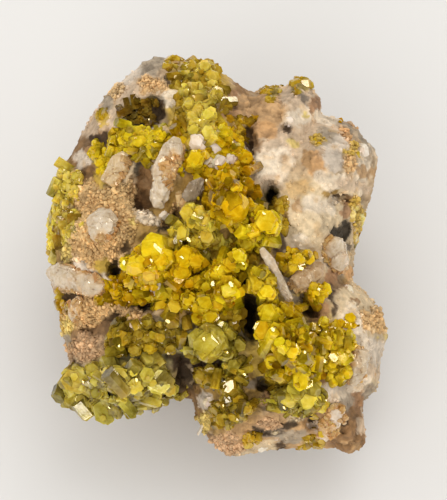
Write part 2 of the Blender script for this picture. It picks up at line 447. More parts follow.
def lattice_value(cells, seed):
    """A value from 0 to 1 for each whole-numbered cell, always the same for the same cell and seed."""
    cells = cells.astype(np.int64)
    bits = cells[..., 0] * 73856093 ^ cells[..., 1] * 19349663 ^ cells[..., 2] * 83492791 ^ seed * 2654435761
    bits = (bits ^ (bits >> 13)) * 1274126177 & 0xFFFFFFFF
    bits = (bits ^ (bits >> 16)) * 2246822519 & 0xFFFFFFFF
    return (bits ^ (bits >> 15) & 0xFFFF) % 65536 / 65535


def soft_noise(points, size, seed=0):
    """Smooth noise from -1 to 1, with lumps of about size."""
    scaled = points / size
    low = np.floor(scaled)
    part = scaled - low
    part = part * part * (3 - 2 * part)
    total = np.zeros(len(points))
    for corner in range(8):
        step = np.array((corner & 1, corner >> 1 & 1, corner >> 2 & 1))
        share = np.prod(np.where(step, part, 1 - part), axis=1)
        total += share * lattice_value(low + step, seed)
    return total * 2 - 1


def rough_noise(points, size, seed=0, octaves=3):
    """Smooth noise with finer noise on it."""
    return sum(soft_noise(points, size / 2 ** i, seed + i) / 2 ** i for i in range(octaves)) / 1.5


def cells_at(points, size, seed=0):
    """For points strewn one to a cell: the distance to the nearest as a share of size, the arm from it, and
    its cell."""
    scaled = points / size
    low = np.floor(scaled)
    nearest = np.full(len(points), 9.0)
    arm, home = np.zeros_like(points), low.copy()
    for i in range(27):
        cell = low + (np.array((i % 3, i // 3 % 3, i // 9)) - 1)
        place = cell + np.stack([lattice_value(cell, seed + k) for k in (1, 2, 3)], axis=1)
        offset = scaled - place
        distance = np.linalg.norm(offset, axis=1)
        closer = distance < nearest
        nearest = np.where(closer, distance, nearest)
        arm[closer], home[closer] = offset[closer], cell[closer]
    return nearest, arm, home


def chipped(points, size, seed=0):
    """Heights of broken rock, as shares of size: each cell is a flat face with its own slope and level."""
    _, arm, home = cells_at(points, size, seed)
    slope = np.stack([lattice_value(home, seed + k) for k in (7, 8, 9)], axis=1) - 0.5
    return (arm * slope).sum(axis=1) * 1.3 + (lattice_value(home, seed + 10) - 0.5) * 0.55


def smooth_step(low, high, value):
    """A smooth rise from 0 at low to 1 at high."""
    share = np.clip((value - low) / (high - low), 0, 1)
    return share * share * (3 - 2 * share)


def ragged_pixels(points):
    """The pixels at which points show, shifted unevenly so that the borders of patches come out ragged."""
    x, y = to_picture(points)
    for seed, (size, shift) in enumerate(((5.0, 4.0), (1.9, 4.0), (0.8, 2.2), (0.4, 1.2))):
        x = x + shift * soft_noise(points, size * MM, 100 + seed)
        y = y + shift * soft_noise(points, size * MM, 200 + seed)
    return x, y


def spread_from(x, y, patch):
    """How far pixels lie from a patch's middle, with 1 on its border."""
    middle_x, middle_y, half_width, half_height, turn = patch[:5]
    turn = math.radians(turn)
    across, down = x - middle_x, y - middle_y
    along = (across * math.cos(turn) - down * math.sin(turn)) / half_width
    aside = (across * math.sin(turn) + down * math.cos(turn)) / half_height
    return np.hypot(along, aside)


def read(items, name, width=1, kind=float):
    """One of the values of all of a mesh's items: a row for each, or one number."""
    values = np.empty(len(items) * width, kind)
    items.foreach_get(name, values)
    return values if width == 1 else values.reshape(-1, width)


def bare_mesh(name, points, corners):
    """A mesh of triangles from arrays."""
    mesh = bpy.data.meshes.new(name)
    mesh.vertices.add(len(points))
    mesh.vertices.foreach_set("co", np.asarray(points, np.float32).ravel())
    mesh.loops.add(len(corners) * 3)
    mesh.loops.foreach_set("vertex_index", np.asarray(corners, np.int32).ravel())
    mesh.polygons.add(len(corners))
    mesh.polygons.foreach_set("loop_start", np.arange(0, len(corners) * 3, 3, dtype=np.int32))
    mesh.update(calc_edges=True)
    return mesh


def tint_mesh(mesh, tints, domain):
    """Gives a mesh a colour for each of its points or corners."""
    values = np.ones((len(tints), 4), np.float32)
    values[:, :3] = np.clip(tints, 0.001, 1)
    mesh.color_attributes.new("tint", "FLOAT_COLOR", domain).data.foreach_set("color", values.ravel())


def mesh_of(name, points, corners, tints):
    """A mesh of triangles from arrays, with a colour for each point."""
    mesh = bare_mesh(name, points, corners)
    tint_mesh(mesh, tints, "POINT")
    mesh.update()
    mesh.validate()
    return mesh


def clefts(mesh):
    """How far each point lies under those next to it, as a share of its distance from them."""
    points, normals = (read(mesh.vertices, name, 3) for name in ("co", "normal"))
    ends = read(mesh.edges, "vertices", 2, np.int32)
    arms = unit(points[ends[:, 1]] - points[ends[:, 0]] + 1e-12)
    total, count = np.zeros(len(points)), np.zeros(len(points))
    for start, sign in ((0, 1), (1, -1)):
        at = ends[:, start]
        total += np.bincount(at, sign * (arms * normals[at]).sum(axis=1), len(points))
        count += np.bincount(at, minlength=len(points))
    return total / np.maximum(count, 1)


def add_piece(name, mesh, material, slot, *nodes):
    """A piece of the specimen that rides on it, and stands for the named CAD nodes."""
    mesh.materials.clear()
    mesh.materials.append(material)
    piece = bpy.data.objects.new(name, mesh)
    bpy.context.scene.collection.objects.link(piece)
    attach(piece, "root")
    if nodes:
        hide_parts(*nodes)


def welded(node):
    """A CAD node's solid with its points joined, as a bmesh."""
    bm = bmesh.new()
    bm.from_mesh(frame["nodes"][node].data)
    bmesh.ops.remove_doubles(bm, verts=bm.verts, dist=1e-6)
    bmesh.ops.triangulate(bm, faces=bm.faces)
    return bm


TREES = {node: BVHTree.FromBMesh(welded(node)) for node in frame["nodes"]}


def look_at(x, y, node):
    """Where the sight through a pixel meets a node, and the way the node faces there."""
    place, facing, _, _ = TREES[node].ray_cast(Vector(EYE), Vector(sight(x, y)))
    return (np.array(place), np.array(facing)) if place else (None, None)


def node_at(x, y):
    """The node that shows at a pixel."""
    hits = [(TREES[node].ray_cast(Vector(EYE), Vector(sight(x, y)))[3], node) for node in sorted(TREES)]
    near = [hit for hit in hits if hit[0] is not None]
    return min(near)[1] if near else None


def rock_distance(places):
    """How far places are from the rock's solid."""
    return np.array([TREES["matrix"].find_nearest(Vector(place))[3] for place in places])


def in_order(bm):
    """A triangle mesh's points and triangles, in an order that is the same each time."""
    bm.verts.index_update()
    points = np.array([vert.co for vert in bm.verts])
    corners = np.array([[vert.index for vert in face.verts] for face in bm.faces])
    bm.free()
    order = np.lexsort(points.T)
    corners = np.argsort(order)[corners]
    turned = (corners.argmin(axis=1)[:, None] + np.arange(3)) % 3
    corners = np.take_along_axis(corners, turned, axis=1)
    return points[order], corners[np.lexsort(corners.T)]


def face_arms(points, corners):
    """For each triangle, a vector at right angles to it, as long as twice its area."""
    first, second, third = (points[corners[:, i]] for i in range(3))
    return np.cross(second - first, third - first)


def normals_of(points, corners):
    """The way a surface of triangles faces at each of its points."""
    arms = face_arms(points, corners)
    total = [sum(np.bincount(corners[:, i], arms[:, k], len(points)) for i in range(3)) for k in range(3)]
    return unit(np.stack(total, axis=1) + 1e-15)


def split_faces(corners, middles):
    """Triangles cut at the middles of their edges; -1 stands for an edge that stays whole."""
    count = (middles >= 0).sum(axis=1)
    whole = corners[count == 0]
    a, b, c = corners[count == 3].T
    ab, bc, ca = middles[count == 3].T
    rows = [(a, ab, ca), (ab, b, bc), (ca, bc, c), (ab, bc, ca)]
    # The edge that is cut comes first.
    turn = ((middles >= 0).argmax(axis=1)[count == 1][:, None] + np.arange(3)) % 3
    a, b, c = np.take_along_axis(corners[count == 1], turn, axis=1).T
    ab = middles[count == 1].max(axis=1)
    rows += [(a, ab, c), (ab, b, c)]
    # The edge that stays whole comes last.
    turn = ((middles < 0).argmax(axis=1)[count == 2][:, None] + np.arange(1, 4)) % 3
    a, b, c = np.take_along_axis(corners[count == 2], turn, axis=1).T
    ab, bc, _ = np.take_along_axis(middles[count == 2], turn, axis=1).T
    rows += [(ab, b, bc), (a, ab, bc), (a, bc, c)]
    return np.concatenate([whole] + [np.stack(row, axis=1) for row in rows])


def smoothed(points, corners):
    """Points moved halfway to the middle of those next to them, but for those at the ground."""
    starts, ends = corners.ravel(), corners[:, (1, 2, 0)].ravel()
    count = np.bincount(starts, minlength=len(points))
    total = np.stack([np.bincount(starts, points[ends, k], len(points)) for k in range(3)], axis=1)
    free = (points[:, 2] > 0.4 * MM)[:, None]
    return np.where(free, 0.5 * (points + total / count[:, None]), points)


def refined(bm, edge_lengths, rounds, smoothings):
    """A solid's points, triangles and normals, cut up small and rounded a little, with large triangles where
    nobody looks."""
    points, corners = in_order(bm)
    for step in range(rounds):
        ends = np.sort(corners[:, ((0, 1), (1, 2), (2, 0))].reshape(-1, 2), axis=1)
        edges, which = np.unique(ends, axis=0, return_inverse=True)
        which = which.reshape(-1)
        facing = np.full(len(edges), -1.0)
        np.maximum.at(facing, which, np.repeat(unit(face_arms(points, corners) + 1e-15) @ TOWARDS, 3))
        length = np.linalg.norm(points[edges[:, 0]] - points[edges[:, 1]], axis=1)
        cut = length > np.where(facing > -0.12, *edge_lengths) * 1.4
        if not cut.any():
            break
        middle = np.where(cut, len(points) + np.cumsum(cut) - 1, -1)
        points = np.concatenate([points, points[edges[cut]].mean(axis=1)])
        corners = split_faces(corners, middle[which].reshape(-1, 3))
        if step in smoothings:
            points = smoothed(points, corners)
    return points, corners, normals_of(points, corners)


def off_ground(points):
    """How freely a surface may be roughened: not at all where the specimen rests."""
    return smooth_step(0.1 * MM, 1.6 * MM, points[:, 2])


def rock_surface():
    """The rock's points, triangles, colours, and how grainy and how sugary it is."""
    points, corners, normals = refined(welded("matrix"), ROCK_EDGES, 7, (1, 2))
    x, y = ragged_pixels(points)
    front = smooth_step(-0.45, -0.05, normals @ TOWARDS)
    mottle = rough_noise(points, 5 * MM, 5)
    tint = np.tile(linear(COLOURS["rock"]), (len(points), 1))
    for name, shade in (
        ("beige", mottle), ("brown", -mottle - 0.1), ("pale", rough_noise(points, 9 * MM, 8)),
        ("ochre", rough_noise(points, 7 * MM, 18) - 0.25),
    ):
        tint = mixed(tint, COLOURS[name], smooth_step(0.05, 0.45, shade), 0.8)
    grain = smooth_step(0.1, 0.4, rough_noise(points, 6 * MM, 21)) * (1 - front)
    sugar = smooth_step(0.1, 0.4, rough_noise(points, 6 * MM, 27)) * (1 - front)
    for patch in PATCHES:
        share = smooth_step(*PATCH_BORDER, spread_from(x, y, patch)) * front
        tint = mixed(tint, COLOURS[patch.colour], share, PATCH_STRENGTH)
        grain += ((patch.texture == "g") - grain) * share
        sugar += ((patch.texture == "s") - sugar) * share
    nearest, _, home = cells_at(points, PEBBLE_SIZE, 31)
    pebble = 0.55 - np.minimum(nearest, 0.9)
    large, middling, small = (chipped(points, size, 40) for size in CHIP_SIZES)
    height = (0.7 - 0.2 * sugar) * large + (0.45 - 0.3 * sugar) * middling + (0.24 - 0.17 * sugar) * small
    height = height * (1 - 0.7 * grain) + grain * 0.42 * pebble + 0.12 * rough_noise(points, 2.0 * MM, 51)
    height = height * MM * off_ground(points)
    hollow = smooth_step(0.25 * MM, -0.35 * MM, height)
    shade = 1 + (0.18 - 0.1 * sugar) * rough_noise(points, 0.9 * MM, 61, 2)
    shade += 0.16 * rough_noise(points, 2.6 * MM, 65, 2)
    shade += 0.3 * grain * (lattice_value(home, 3) - 0.5)
    tint *= (shade * (1 - 0.32 * hollow))[:, None]
    rust = smooth_step(0.25, 0.6, rough_noise(points, 1.7 * MM, 75)) * sugar * 0.4
    tint = mixed(tint, COLOURS["tan"], rust)
    return points + normals * height[:, None], corners, tint, grain, sugar


def spots_on(points, corners, normals, count, least_facing, **values):
    """Random places all over a surface of triangles, with the surface's normals and other values there, and
    whether something small may grow on them."""
    area = np.linalg.norm(face_arms(points, corners), axis=1)
    chosen = rng.choice(len(corners), size=count, p=area / area.sum())
    u, v = rng.random(count), rng.random(count)
    flip = u + v > 1
    u, v = np.where(flip, 1 - u, u), np.where(flip, 1 - v, v)
    weights = np.stack([1 - u - v, u, v], axis=1)
    spots = {
        name: np.einsum("ij...,ij->i...", value[corners[chosen]], weights)
        for name, value in {"place": points, "normal": normals, **values}.items()
    }
    spots["normal"] /= np.linalg.norm(spots["normal"], axis=1)[:, None]
    spots["facing"] = spots["normal"] @ TOWARDS
    spots["x"], spots["y"] = ragged_pixels(spots["place"])
    x, y = to_picture(spots["place"])
    spots["free"] = (spots["place"][:, 2] > LOWEST) & (spots["facing"] > least_facing)
    for hole in HOLES:
        spots["free"] &= spread_from(x + 0.3 * (spots["x"] - x), y + 0.3 * (spots["y"] - y), hole) > 1
    return spots


def chosen_spots(spots, chosen):
    return {name: value[chosen] for name, value in spots.items()}


def thinned(spots, chosen, spacing):
    """The chosen spots, with no two in one box of that spacing."""
    pick = np.flatnonzero(chosen)
    boxes = np.floor(spots["place"][pick] / spacing).astype(np.int64)
    _, first = np.unique(boxes, axis=0, return_index=True)
    return chosen_spots(spots, pick[np.sort(first)])


def clear_of(large, x, y):
    """Which pixels lie outside all of the large crystals."""
    away = np.ones(len(x), bool)
    for stone in large:
        away &= np.hypot(x - stone.x, y - stone.y) > stone.radius
    return away


# A crystal's form: for each corner its share of the length, its distance from there in radii, and its place
# across and aside in radii; and the triangles between them.
Form = namedtuple("Form", "rows corners")
# How deep under its tip a crystal's root is before it is drawn out to its length, in radii.
ROOT_DEPTH = 2.0


def cut_form(planes):
    """A crystal with flat faces: what planes, each a normal and its distance from the tip, leave standing."""
    planes = np.array(list(planes) + [(0, 0, -1, ROOT_DEPTH)], float)
    normals, distances = unit(planes[:, :3]), planes[:, 3]
    points = []
    for trio in itertools.combinations(range(len(planes)), 3):
        trio = list(trio)
        if abs(np.linalg.det(normals[trio])) > 0.01:
            point = np.linalg.solve(normals[trio], distances[trio])
            if (normals @ point < distances + 1e-6).all():
                points.append(point)
    points = np.unique(np.round(points, 5), axis=0)
    corners = []
    for normal, distance in zip(normals, distances):
        face = np.flatnonzero(np.abs(points @ normal - distance) < 1e-4)
        if len(face) > 2:
            arms = points[face] - points[face].mean(axis=0)
            side = unit(arms[0])
            order = face[np.argsort(np.arctan2(arms @ np.cross(normal, side), arms @ side))]
            corners += [(order[0], order[i], order[i + 1]) for i in range(1, len(order) - 1)]
    root = points[:, 2] < -ROOT_DEPTH + 1e-3
    offsets = np.where(root, 0, points[:, 2])
    return Form(np.column_stack([~root, offsets, points[:, :2]]), np.array(corners, np.int32))


def around(angle, rise, distance):
    """A plane that faces sideways and somewhat up."""
    return (math.cos(angle), math.sin(angle), rise, distance)


def sides_of(draw, low, high):
    """The six side faces of a crystal, at uneven distances."""
    return [around(math.pi / 3 * k, 0, low + (high - low) * draw.random()) for k in range(6)]


def prism_form(draw, rims=3, trim=0.22, slope=0.1):
    """A six-sided crystal with a flat end, and some of its end's rims cut off."""
    sides = sides_of(draw, 0.7, 0.95)
    end = (slope * (draw.random() - 0.5), slope * (draw.random() - 0.5), 1, 0)
    rim = []
    for k in draw.permutation(6)[:rims]:
        reach = 0.76 * sides[k][3] * (1 - trim * (0.3 + draw.random()))
        rim.append(around(math.pi / 3 * k, 0.85, reach))
    return cut_form(sides + [end] + rim)


def crag_form(draw):
    """A blocky crystal with large faces at odd slopes."""
    planes = sides_of(draw, 0.68, 1.0)
    planes.append((0.5 * (draw.random() - 0.5), 0.5 * (draw.random() - 0.5), 1, 0))
    faces = 7
    for k in range(faces):
        angle = 2 * math.pi * (k + 0.8 * draw.random()) / faces
        rise = 0.45 + 1.1 * draw.random()
        reach = 0.62 * (0.8 + 0.35 * draw.random())
        drop = rise / math.hypot(1, rise)
        planes.append(around(angle, rise, reach - 0.45 * drop + 0.1 * (1 - drop)))
    return cut_form(planes)


def ball_form(draw):
    """A drop with many faces."""
    planes = [(0, 0, 1, 0)]
    for k in range(22):
        rise = 1 - 2 * (k + 0.5) / 26
        angle = 2.4 * k + 0.3 * draw.random()
        out = math.sqrt(max(0, 1 - rise * rise))
        reach = 0.92 + 0.07 * draw.random() - 0.95 * rise
        planes.append((out * math.cos(angle), out * math.sin(angle), rise, reach))
    return cut_form(planes + sides_of(draw, 0.93, 1.0))


def point_form(draw):
    """A quartz crystal: six sides and a steep six-sided point."""
    sides = sides_of(draw, 0.75, 1.0)
    return cut_form(sides + [around(math.pi / 3 * k, 0.8, 0.12 * draw.random()) for k in range(6)])


def is_closed(form):
    """Whether each edge lies between two faces."""
    edges = [(int(row[i]), int(row[i - 1])) for row in form.corners for i in range(3)]
    distinct = set(edges)
    return len(distinct) == len(edges) and all(edge[::-1] in distinct for edge in edges)


form_draw = np.random.default_rng(5)


def several(count, make, *values):
    """Closed crystals of one form, each a little different."""
    kept = []
    while len(kept) < count:
        form = make(form_draw, *values)
        if is_closed(form):
            kept.append(form)
    return kept


FORMS = {
    "crag": several(8, crag_form),
    "prism": several(8, prism_form),
    "stub": several(8, prism_form, 1, 0.12),
    "plate": several(4, prism_form, 1, 0.1, 0.0),
    "ball": several(4, ball_form),
    "point": several(6, point_form),
}
# How far crystals of one colour differ.
TINT_SPREAD = 0.1
# How the darkening in a cleft differs between red, green and blue.
CLEFT_TINT = np.array((0.85, 1.05, 1.1))


def union(name, shapes):
    """One closed mesh of overlapping shapes, each of whose faces keeps the number of its shape."""
    operands = bpy.data.collections.new(name)
    bpy.context.scene.collection.children.link(operands)
    for owner, (points, corners) in enumerate(shapes):
        mesh = bare_mesh(name, points, corners)
        layer = mesh.attributes.new("owner", "INT", "FACE")
        layer.data.foreach_set("value", np.full(len(corners), owner, np.int32))
        operands.objects.link(bpy.data.objects.new(name, mesh))
    first = operands.objects[-1]
    operands.objects.unlink(first)
    bpy.context.scene.collection.objects.link(first)
    if len(shapes) > 1:
        boolean = first.modifiers.new("union", "BOOLEAN")
        boolean.operation, boolean.solver = "UNION", "MANIFOLD"
        boolean.operand_type, boolean.collection = "COLLECTION", operands
    evaluated = first.evaluated_get(bpy.context.evaluated_depsgraph_get())
    mesh = bpy.data.meshes.new_from_object(evaluated)
    for thing in list(operands.objects) + [first]:
        bpy.data.meshes.remove(thing.data)
    bpy.data.collections.remove(operands)
    return mesh


class Growing:
    """Crystals that become one closed mesh, and are darker at their roots and in clefts."""

    def __init__(self, root_shade=0.4, cleft_shade=0.66):
        self.root_shade, self.cleft_shade = root_shade, cleft_shade
        self.shapes, self.tips, self.axes, self.lengths, self.tints = [], [], [], [], []

    def add(self, form, tips, axes, radii, lengths, turns, flat, tints):
        """Crystals of one form, with arrays of one row for each."""
        axes = unit(axes)
        helper = np.where(np.abs(axes[:, :1]) < 0.8, np.array([[1.0, 0, 0]]), np.array([[0, 1.0, 0]]))
        side = unit(np.cross(axes, helper))
        aside = np.cross(axes, side)
        across = side * np.cos(turns)[:, None] + aside * np.sin(turns)[:, None]
        beside = np.cross(axes, across) * flat[:, None]
        variants = rng.integers(0, len(FORMS[form]), len(tips))
        for i, variant in enumerate(variants):
            rows, corners = FORMS[form][variant]
            level = (rows[:, 0] - 1) * lengths[i] + rows[:, 1] * radii[i]
            points = tips[i] + axes[i] * level[:, None]
            points = points + (across[i] * rows[:, 2:3] + beside[i] * rows[:, 3:4]) * radii[i]
            self.shapes.append((points, corners))
        self.tips += list(tips)
        self.axes += list(axes)
        self.lengths += list(lengths)
        self.tints += list(tints)

    def add_one(self, form, tip, axis, radius, length, turn, flat, tints):
        """One crystal, with its colour as a row of its own."""
        sizes = (np.array([value]) for value in (radius, length, turn, flat))
        self.add(form, tip[None], axis[None], *sizes, tints)

    def joined(self, name, body=None, body_colours=None):
        """One closed mesh of the crystals and the body they stand on, coloured by what a face came from."""
        mesh = union(name, self.shapes + ([body] if body else []))
        mesh.shade_flat()
        sizes = read(mesh.polygons, "loop_total", kind=np.int32)
        owners = np.repeat(read(mesh.attributes["owner"].data, "value", kind=np.int32), sizes)
        spots = read(mesh.loops, "vertex_index", kind=np.int32)
        places = read(mesh.vertices, "co", 3)[spots]
        grown = owners < len(self.tips)
        tints = np.ones((len(spots), 3), np.float32)
        if body_colours:
            tints[~grown] = body_colours(places[~grown])
        if grown.any():
            crystal = owners[grown]
            arms = places[grown] - np.array(self.tips)[crystal]
            height = 1 + (arms * np.array(self.axes)[crystal]).sum(axis=1) / np.array(self.lengths)[crystal]
            shade = self.root_shade + (1 - self.root_shade) * np.clip(height, 0, 1)
            tints[grown] = np.array(self.tints)[crystal] * shade[:, None]
        depth = smooth_step(0.03, 0.45, clefts(mesh)[spots])
        tints *= 1 - self.cleft_shade * depth[:, None] * CLEFT_TINT
        tint_mesh(mesh, tints, "CORNER")
        mesh.attributes.remove(mesh.attributes["owner"])
        return mesh


def mixed_tints(dark, bright, shades):
    """Colours between a dark and a bright one, each a little off."""
    tints = mixed(linear(dark), bright, np.clip(shades, 0, 1))
    return tints * (1 + (rng.random((len(shades), 3)) - 0.5) * TINT_SPREAD)


def place_of(stone, node, lift):
    """Where a large crystal's tip is, which stands out by a lift in radii, and the way the surface faces
    there."""
    radius = stone.radius * PIXEL
    place, facing = look_at(stone.x, stone.y, node)
    if place is None:
        place, facing = look_at(stone.x, stone.y, "matrix")
        if place is None:
            return None, None
        place = place + facing * radius * 0.5
    return place + facing * radius * lift, facing


def axis_of(stone, place, facing):
    """The way a large crystal points, and its length: from its root, or else down to the rock."""
    radius = stone.radius * PIXEL
    if stone.root:
        root_x, root_y = stone.root
        along = ACROSS * (stone.x - root_x) - UPWARD * (stone.y - root_y)
        root = place - along * PIXEL - TOWARDS * 0.6 * radius
        return unit(place - root), max(np.linalg.norm(place - root), 1.3 * radius)
    lean = 1.3 if stone.form == "prism" else 0.5
    axis = unit(facing * 0.6 + 0.5 * TOWARDS + (rng.random(3) - 0.5) * lean)
    below, _, _, distance = TREES["matrix"].ray_cast(Vector(place), Vector(-axis))
    return axis, max(1.3 * radius, min(distance + 0.5 * MM, 4.5 * radius)) if below else 2.2 * radius


def add_stone(growing, stone, node, growth, lift=0.0):
    """One of a growth's large crystals, with those grown side by side with it."""
    radius = stone.radius * PIXEL
    place, facing = place_of(stone, node, lift)
    if place is None:
        return
    axis, length = axis_of(stone, place, facing)
    rows = []
    turn = rng.random() * math.pi / 3
    side = unit(np.cross(axis, UPWARD))
    other = np.cross(axis, side)

    def put(form, out, angle, drop, share, lean=0.06, flat=1.0):
        """A crystal beside the middle, lower by a drop, both in radii."""
        away = side * math.cos(angle) + other * math.sin(angle)
        tip = place + away * out * radius - axis * drop * radius
        reach = max(length - drop * radius, 1.3 * share * radius)
        shade = stone.shade + 0.3 * (rng.random() - 0.5)
        rows.append((shade, form, tip, axis + away * lean, share * radius, reach, turn, flat))

    if stone.form in ("block", "crag"):
        form = "crag" if stone.form == "crag" or rng.random() < 0.45 else "prism"
        put(form, 0.05, turn, 0.0, 0.88)
        for k in range(4):
            angle = turn + 1.57 * (k + 0.6 * rng.random())
            put(form, 0.5, angle, 0.08 + 0.35 * rng.random(), 0.58 + 0.1 * rng.random())
    elif stone.form == "plate":
        put("plate", 0.0, turn, 0.0, 0.95, 0.0, 0.85)
        for k in range(3):
            angle = turn + 2.1 * (k + 0.6 * rng.random())
            put("plate", 0.45, angle, 0.12 + 0.3 * rng.random(), 0.62, 0.12, 0.8)
        put("stub", 0.35, turn + 6 * rng.random(), -0.12, 0.28, 0.3)
    elif stone.form == "ball":
        put("ball", 0.0, 0.0, 0.0, 1.0, 0.0)
    elif stone.form == "blade":
        put("plate", 0.0, 0.0, 0.0, 0.9, 0.0, 0.3)
        put("plate", 0.3, 1.0, 0.9, 0.6, 0.1, 0.35)
    else:
        put("prism", 0.0, 0.0, 0.0, 1.0, 0.0)
        for k in range(2):
            put("prism", 0.5, turn + 2.6 * k + rng.random(), 0.3 + 0.6 * rng.random(), 0.6)
    for shade, *crystal in rows:
        growing.add_one(*crystal, mixed_tints(growth.dark, growth.bright, np.array([shade])))


def add_small(growing, spots, small, dark, bright, lift):
    """Small crystals of mixed forms at every one of the spots, which lean much as their neighbours do and
    stand out by a share of their length."""
    places = spots["place"]
    count = len(places)
    if not count:
        return
    kinds = rng.choice(len(SMALL_FORMS), count, p=list(SMALL_FORMS.values()))
    radii = small * MM * (0.75 + 1.3 * rng.random(count) ** 1.7)
    lengths = radii * (1.6 + 1.8 * rng.random(count))
    lean = np.stack([soft_noise(places, LEAN_SIZE, 311 + k) for k in range(3)], axis=1)
    axes = unit(spots["normal"] * 0.8 + lean * 1.4 + (rng.random((count, 3)) * 2 - 1) * 0.5)
    tips = places + axes * (lift * lengths)[:, None]
    flat = 0.75 + 0.25 * rng.random(count)
    turns = rng.random(count) * math.pi / 3
    drift = soft_noise(places, 2.8 * MM, 301) * 0.35 + 0.5
    tints = mixed_tints(dark, bright, drift + (rng.random(count) - 0.5) * 0.6)
    for kind, form in enumerate(SMALL_FORMS):
        pick = kinds == kind
        growing.add(form, *(values[pick] for values in (tips, axes, radii, lengths, turns, flat, tints)))


def buried(spots):
    """Which spots of a cluster face the rock close behind them, where nothing can be seen."""
    hidden = np.zeros(len(spots["place"]), bool)
    for i in np.flatnonzero(spots["facing"] < 0.35):
        place, normal = Vector(spots["place"][i]), Vector(spots["normal"][i])
        hidden[i] = TREES["matrix"].ray_cast(place, normal, 0.9 * MM)[0] is not None
    return hidden


def grow_cluster(node, growth, material):
    """A cluster: its solid, faceted, set all over with small crystals, and its large ones, grown into one."""
    points, corners, normals = refined(welded(node), CLUSTER_EDGES, 6, (1,))
    growing = Growing()
    spots = spots_on(points, corners, normals, *CLUSTER_SPOTS)
    spots = thinned(spots, spots["free"], growth.small * MM * CLUSTER_SPACING)
    spots = chosen_spots(spots, ~buried(spots))
    large = growth.stones + WHITES
    bare = clear_of(large, *to_picture(spots["place"])) | (spots["facing"] < 0.1)
    bare &= soft_noise(spots["place"], 1.6 * MM, 431) > -0.15
    add_small(growing, chosen_spots(spots, bare), growth.small, growth.dark, growth.bright, 0.27)
    for stone in growth.stones:
        add_stone(growing, stone, node, growth)

    def body_colours(places):
        _, _, home = cells_at(places, FACET_SIZE, FACET_SEED)
        share = 0.5 * rough_noise(places, 2.2 * MM, 411) + 0.5 * lattice_value(home, 421)
        return mixed(linear(growth.dark), growth.bright, np.clip(0.25 + share, 0, 1)) * 0.8

    height = 0.6 * chipped(points, FACET_SIZE, FACET_SEED)
    height += 0.16 * chipped(points, 0.45 * FACET_SIZE, FACET_SEED + 20)
    x, y = to_picture(points)
    for stone in large:
        height -= 0.4 * smooth_step(1.0, 0.6, np.hypot(x - stone.x, y - stone.y) / stone.radius)
    height *= MM * off_ground(points)
    mesh = growing.joined(node + "_fine", (points + normals * height[:, None], corners), body_colours)
    add_piece(node + "_fine", mesh, material, "pyromorphite", node)


def add_crusts(spots, material):
    """The thin crusts of small crystals on the bare rock."""
    open_spots = spots["free"] & clear_of(WHITES, spots["x"], spots["y"])
    density = 0.5 + 0.5 * soft_noise(spots["place"], 1.6 * MM, 501)
    for number, crust in enumerate(CRUSTS):
        growing = Growing()
        inside = spread_from(spots["x"], spots["y"], crust) < 1
        covered = open_spots & inside & (density < crust.cover)
        ground = thinned(spots, covered, crust.small * MM * CRUST_SPACING)
        open_spots &= ~inside
        add_small(growing, ground, crust.small, crust.dark, crust.bright, 0.25)
        if growing.shapes:
            name = f"pyromorphite_dusting_{number}"
            add_piece(name, growing.joined(name), material, "pyromorphite")


def limonite_grains(spots, material):
    """The grains of the tan crusts, each an uneven lump half sunk in the rock."""
    spots = thinned(spots, (spots["grain"] > 0.4) & spots["free"], GRAIN_SPACING)
    count = len(spots["place"])
    bm = bmesh.new()
    bmesh.ops.create_icosphere(bm, subdivisions=1, radius=1.0)
    lump = np.array([vert.co for vert in bm.verts])
    faces = np.array([[vert.index for vert in face.verts] for face in bm.faces], np.int32)
    bm.free()
    radii = (0.13 + 0.34 * rng.random(count) ** 2.5) * MM
    lift = rough_noise(spots["place"], 1.8 * MM, 601) * 0.3 * MM
    places = spots["place"] + spots["normal"] * (radii * 0.4 + np.maximum(lift, -0.1 * MM))[:, None]
    shape = lump[None] * (0.6 + 0.7 * rng.random((count, len(lump), 1)))
    shape = shape * (0.6 + 0.9 * rng.random((count, 1, 3)))
    points = places[:, None, :] + shape * radii[:, None, None]
    tint = spots["tint"] * (0.8 + 0.65 * rng.random(count))[:, None]
    tints = np.repeat(tint, len(lump), axis=0)
    corners = faces[None] + (np.arange(count) * len(lump))[:, None, None]
    mesh = mesh_of("limonite_grains", points.reshape(-1, 3), corners.reshape(-1, 3), tints)
    add_piece("limonite_grains", mesh, material, "vein_rock")


def quartz_druse(spots, material):
    """The small quartz crystals that cover the sugary parts of the rock."""
    spots = thinned(spots, (spots["sugar"] > 0.45) & spots["free"], DRUSE_SPACING)
    spots = chosen_spots(spots, rng.random(len(spots["place"])) < DRUSE_SHARE)
    count = len(spots["place"])
    growing = Growing(0.95, 0.2)
    radii = (0.16 + 0.26 * rng.random(count) ** 2) * MM
    lengths = radii * (1.6 + 1.4 * rng.random(count))
    axes = unit(spots["normal"] + (rng.random((count, 3)) * 2 - 1) * 0.9)
    tips = spots["place"] + axes * (lengths * 0.55)[:, None]
    tints = spots["tint"] * (0.95 + 0.3 * rng.random(count))[:, None]
    growing.add("point", tips, axes, radii, lengths, rng.random(count), 0.7 + 0.3 * rng.random(count), tints)
    add_piece("quartz_druse", growing.joined("quartz_druse"), material, "quartz")


def hull_of(node):
    """The convex hull of a CAD node, as a bmesh."""
    source, bm = welded(node), bmesh.new()
    for vert in source.verts:
        bm.verts.new(vert.co)
    source.free()
    bmesh.ops.convex_hull(bm, input=bm.verts)
    bmesh.ops.delete(bm, geom=[vert for vert in bm.verts if not vert.link_faces], context="VERTS")
    bmesh.ops.recalc_face_normals(bm, faces=bm.faces)
    return bm


